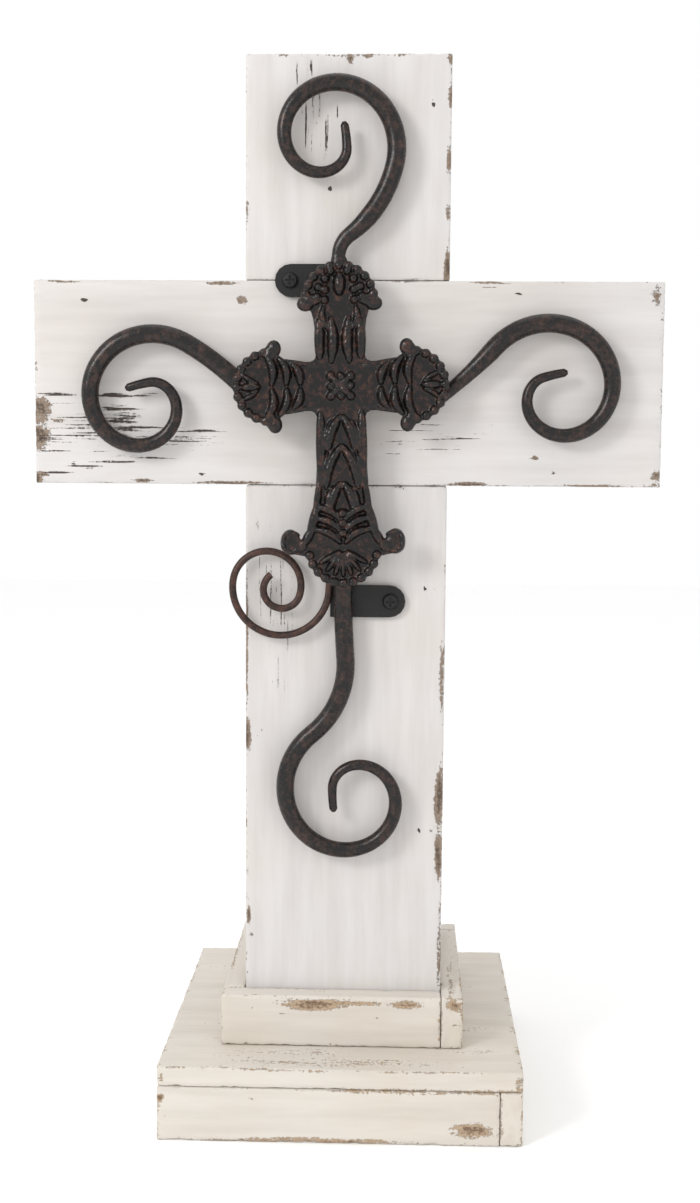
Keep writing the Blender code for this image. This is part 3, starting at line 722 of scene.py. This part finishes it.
add_head((0.0, TOP_HEAD), 90, TOP_REACH)
add_head((SIDE_HEAD, 0.0), 0, SIDE_REACH)
add_head((-SIDE_HEAD, 0.0), 180, SIDE_REACH)
add_head((0.0, -BOTTOM_HEAD), -90, 0.0)
print("forms so far", len(forms))


# %% [markdown]
# ## Relief on the medallion
# Low relief needs two kinds of form. A lobe is a squashed sphere, for a berry or a bud. A ridge is a run of
# lobes that overlap along a line, for a leaf, a rib or a rail. Each part of a side has its own short
# function, because left and right mirror each other on the real casting.

# %% A ridge and a leaf
def add_ridge(points, width, height, overlap=1.45):
    """A curved ridge along a run of points, fullest in its middle, its forms overlapping."""
    for index, (before, after) in enumerate(zip(points, points[1:])):
        share = (index + 0.5) / (len(points) - 1)
        full = 0.55 + 0.45 * math.sin(math.pi * share)
        across, up = after[0] - before[0], after[1] - before[1]
        spot = ((before[0] + after[0]) / 2, (before[1] + after[1]) / 2)
        half = math.hypot(across, up) * overlap
        add_lobe(spot, (half, width * full, height * full), math.degrees(math.atan2(up, across)))


def leaf_line(start, heading, length, bow):
    """Points along an S shaped leaf: it bows one way, then the other."""
    spot = start
    line = [start]
    for step in range(6):
        angle = math.radians(heading + bow * math.cos(math.pi * step / 5))
        spot = (spot[0] + length / 6 * math.cos(angle), spot[1] + length / 6 * math.sin(angle))
        line.append(spot)
    return line


# %% Rails, rims and ears
RAIL_INSET = 0.0018
RAIL_SPANS = ((-0.046, -0.014), (0.014, 0.031))
FLARE_INSET = 0.0016
RIM_INSET = 0.0010
EAR_RING = ((-0.004, 0.0035), (-0.001, 0.0050), (0.0025, 0.0038), (0.0036, 0.0), (0.0026, -0.0040),
            (-0.0010, -0.0052), (-0.0036, -0.0032))


def add_rail(side, low, high):
    """A rounded rail along one side, fuller in each half."""
    length = high - low
    add_lobe((side * (ARM - RAIL_INSET), (low + high) / 2), (0.0026, length / 2 + 0.002, 0.0028))
    for share in (0.25, 0.75):
        add_lobe((side * (ARM - RAIL_INSET), low + length * share), (0.0024, length * 0.36, 0.0026))


def dress_edges(side):
    """The rails and the flare on one side of the shaft, its ear, and the rims of the arm."""
    for low, high in RAIL_SPANS:
        add_rail(side, low, high)
    flare = [(across - FLARE_INSET, up) for across, up in shaft_edge[4:8]] + [(EAR[0] - 0.0035, -0.0785)]
    add_ridge([(side * across, up) for across, up in flare], 0.0026, 0.0034, 0.95)
    add_lobe((side * EAR[0], EAR[1]), (0.0050, 0.0064, 0.0022))
    add_lobe((side * (EAR[0] - 0.0045), EAR[1] - 0.0020), (0.0040, 0.0034, 0.0022))
    for up in (-1, 1):
        rim = [(side * out, up * (across - RIM_INSET)) for across, out in arm_edge[:3]]
        add_ridge(rim + [(side * 0.0165, up * (ARM - RIM_INSET))], 0.0013, 0.0014)
    ring = [(side * (EAR[0] + across), EAR[1] + up) for across, up in EAR_RING]
    add_ridge(ring, 0.0016, 0.0036, 0.80)


# %% Berries and leaves above the middle
CROWN_BERRIES = ((0.0068, 0.0100), (0.0100, 0.0060), (0.0070, 0.0048), (0.0108, 0.0014), (0.0072, 0.0),
                 (0.0040, 0.0135))


def dress_crown(side):
    """Berries on one side of the top end, and two leaves below them."""
    for across, up in CROWN_BERRIES:
        add_lobe((side * across, TOP_HEAD + up), (0.0023, 0.0023, 0.0034))
    add_ridge(leaf_line((side * 0.0042, 0.013), 90, 0.018, side * 8), 0.0029, 0.0036)
    add_ridge(leaf_line((side * 0.0062, 0.028), 90 - side * 10, 0.010, -side * 22), 0.0019, 0.0032)


# %% Leaves and ribs down the shaft
SHAFT_LEAVES = ((-0.0155, 0.015), (-0.0300, 0.019), (-0.0475, 0.013))
SHAFT_RIBS = (-0.0610, -0.0665, -0.0720)


def dress_shaft(side):
    """Hanging leaves, each with a smaller one beside it, and the ribs below them."""
    for low, reach in SHAFT_LEAVES:
        add_ridge(leaf_line((side * 0.0012, low), -90 + side * 20, reach, side * 14), 0.0028, 0.0038)
        smaller = leaf_line((side * 0.0052, low - 0.002), -90 + side * 12, reach * 0.8, side * 10)
        add_ridge(smaller, 0.0018, 0.0028)
    for low in SHAFT_RIBS:
        add_ridge(leaf_line((side * 0.0018, low - 0.003), 90 - side * 62, 0.0125, side * 20), 0.0024, 0.0040)


# %% Leaves across an arm
ARM_LEAVES = ((0.0195, 0.0016, 68, 0.0100), (0.0262, 0.0018, 74, 0.0125), (0.0332, 0.0020, 78, 0.0140))


def dress_arm(side):
    """Three pairs of leaves across an arm, a pair of small ones beyond them, and a bud."""
    for up in (-1, 1):
        for out, away, heading, length in ARM_LEAVES:
            turned = heading if side > 0 else 180 - heading
            line = leaf_line((side * out, up * away), up * turned, length, side * up * 24)
            add_ridge(line, 0.0025, 0.0042)
        small = leaf_line((side * 0.0405, up * 0.002), 90 - side * 90 + side * up * 30, 0.008, 10)
        add_ridge(small, 0.0015, 0.0032)
    add_lobe((side * (SIDE_HEAD + 0.0095), 0.0), (0.0052, 0.0023, 0.0040))


# %% Both sides, then the berries, the fan and the knot in the middle
MIDDLE_BERRIES = (-0.0615, -0.0662, -0.0709)
FAN_ANGLES = (-150, -128, -108, -90, -72, -52, -30)

for side in (-1, 1):
    dress_edges(side)
    dress_crown(side)
    dress_shaft(side)
    dress_arm(side)
add_lobe((0.0, TOP_HEAD + 0.0075), (0.0031, 0.0060, 0.0044))
for up in MIDDLE_BERRIES:
    add_lobe((0.0, up), (0.0030, 0.0025, 0.0042))
for angle in FAN_ANGLES:
    add_lobe(around((0.0, -BOTTOM_HEAD), angle, 0.0076, 0.0), (0.0066, 0.0016, 0.0036), angle)
for angle in (45, 135, 225, 315):
    add_lobe(around((0.0, 0.0), angle, 0.0030, 0.0), (0.0040, 0.0024, 0.0042), angle)
    add_lobe(around((0.0, 0.0), angle, 0.0068, 0.0), (0.0024, 0.0024, 0.0030))
    add_lobe(around((0.0, 0.0), angle - 45, 0.0050, 0.0), (0.0022, 0.0018, 0.0030), angle)
print("forms", len(forms))

# %% Join, remesh and soften
PIT_SCALE = 420.0
PIT_DEPTH = 0.00030
PITTED_FRONT = -0.066

bpy.ops.object.select_all(action="DESELECT")
for form in forms:
    form.select_set(True)
bpy.context.view_layer.objects.active = forms[0]
bpy.ops.object.join()
medallion = bpy.context.object
medallion.name = "medallion_casting"
bake_place(medallion)
medallion.data.remesh_voxel_size = VOXEL
bpy.ops.object.voxel_remesh()
softened = medallion.modifiers.new("softened", "SMOOTH")
softened.factor = 0.5
softened.iterations = 4
bpy.ops.object.modifier_apply(modifier="softened")
low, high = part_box("medallion")
spots = vertex_places(medallion)
for index, spot in enumerate(spots):
    pit = max(0.0, noise.noise(Vector(spot) * PIT_SCALE)) * PIT_DEPTH
    spots[index][1] += pit if spot[1] < PITTED_FRONT else 0.0
spots = np.clip(spots, np.array(low), np.array(high))
medallion.data.vertices.foreach_set("co", spots.ravel())
only(medallion)
bpy.ops.object.shade_smooth()
medallion.data.materials.clear()
medallion.data.materials.append(cast_iron)
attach(medallion, "root")
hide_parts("medallion")
print("medallion", len(medallion.data.polygons), "faces")

# %% [markdown]
# ## Tabs and screws
# The tabs and screws are already the right shape in the model, recess and all, so they are kept as they are
# and only given a satin black finish.

# %% Finish the fixings
for node in ("upper_tab", "lower_tab", "upper_screw", "lower_screw"):
    kept = nodes[node]
    for material_slot in kept.material_slots:
        material_slot.link = "OBJECT"
        material_slot.material = fixing_black
print("fixings finished")

# %% [markdown]
# ## The floor
# A plain pale floor catches a soft shadow. It is stage, not part of the cross.

# %% Floor
bpy.ops.object.select_all(action="DESELECT")
bpy.ops.mesh.primitive_plane_add(size=6.0, location=(0.0, 0.0, -0.0002))
floor = bpy.context.object
floor.name = "floor"
pale = bpy.data.materials.new("pale_floor")
pale.use_nodes = True
pale_shader = pale.node_tree.nodes["Principled BSDF"]
pale_shader.inputs["Base Color"].default_value = (0.97, 0.97, 0.97, 1.0)
pale_shader.inputs["Roughness"].default_value = 0.9
floor.data.materials.append(pale)
print("floor", floor.dimensions.x, "m wide")
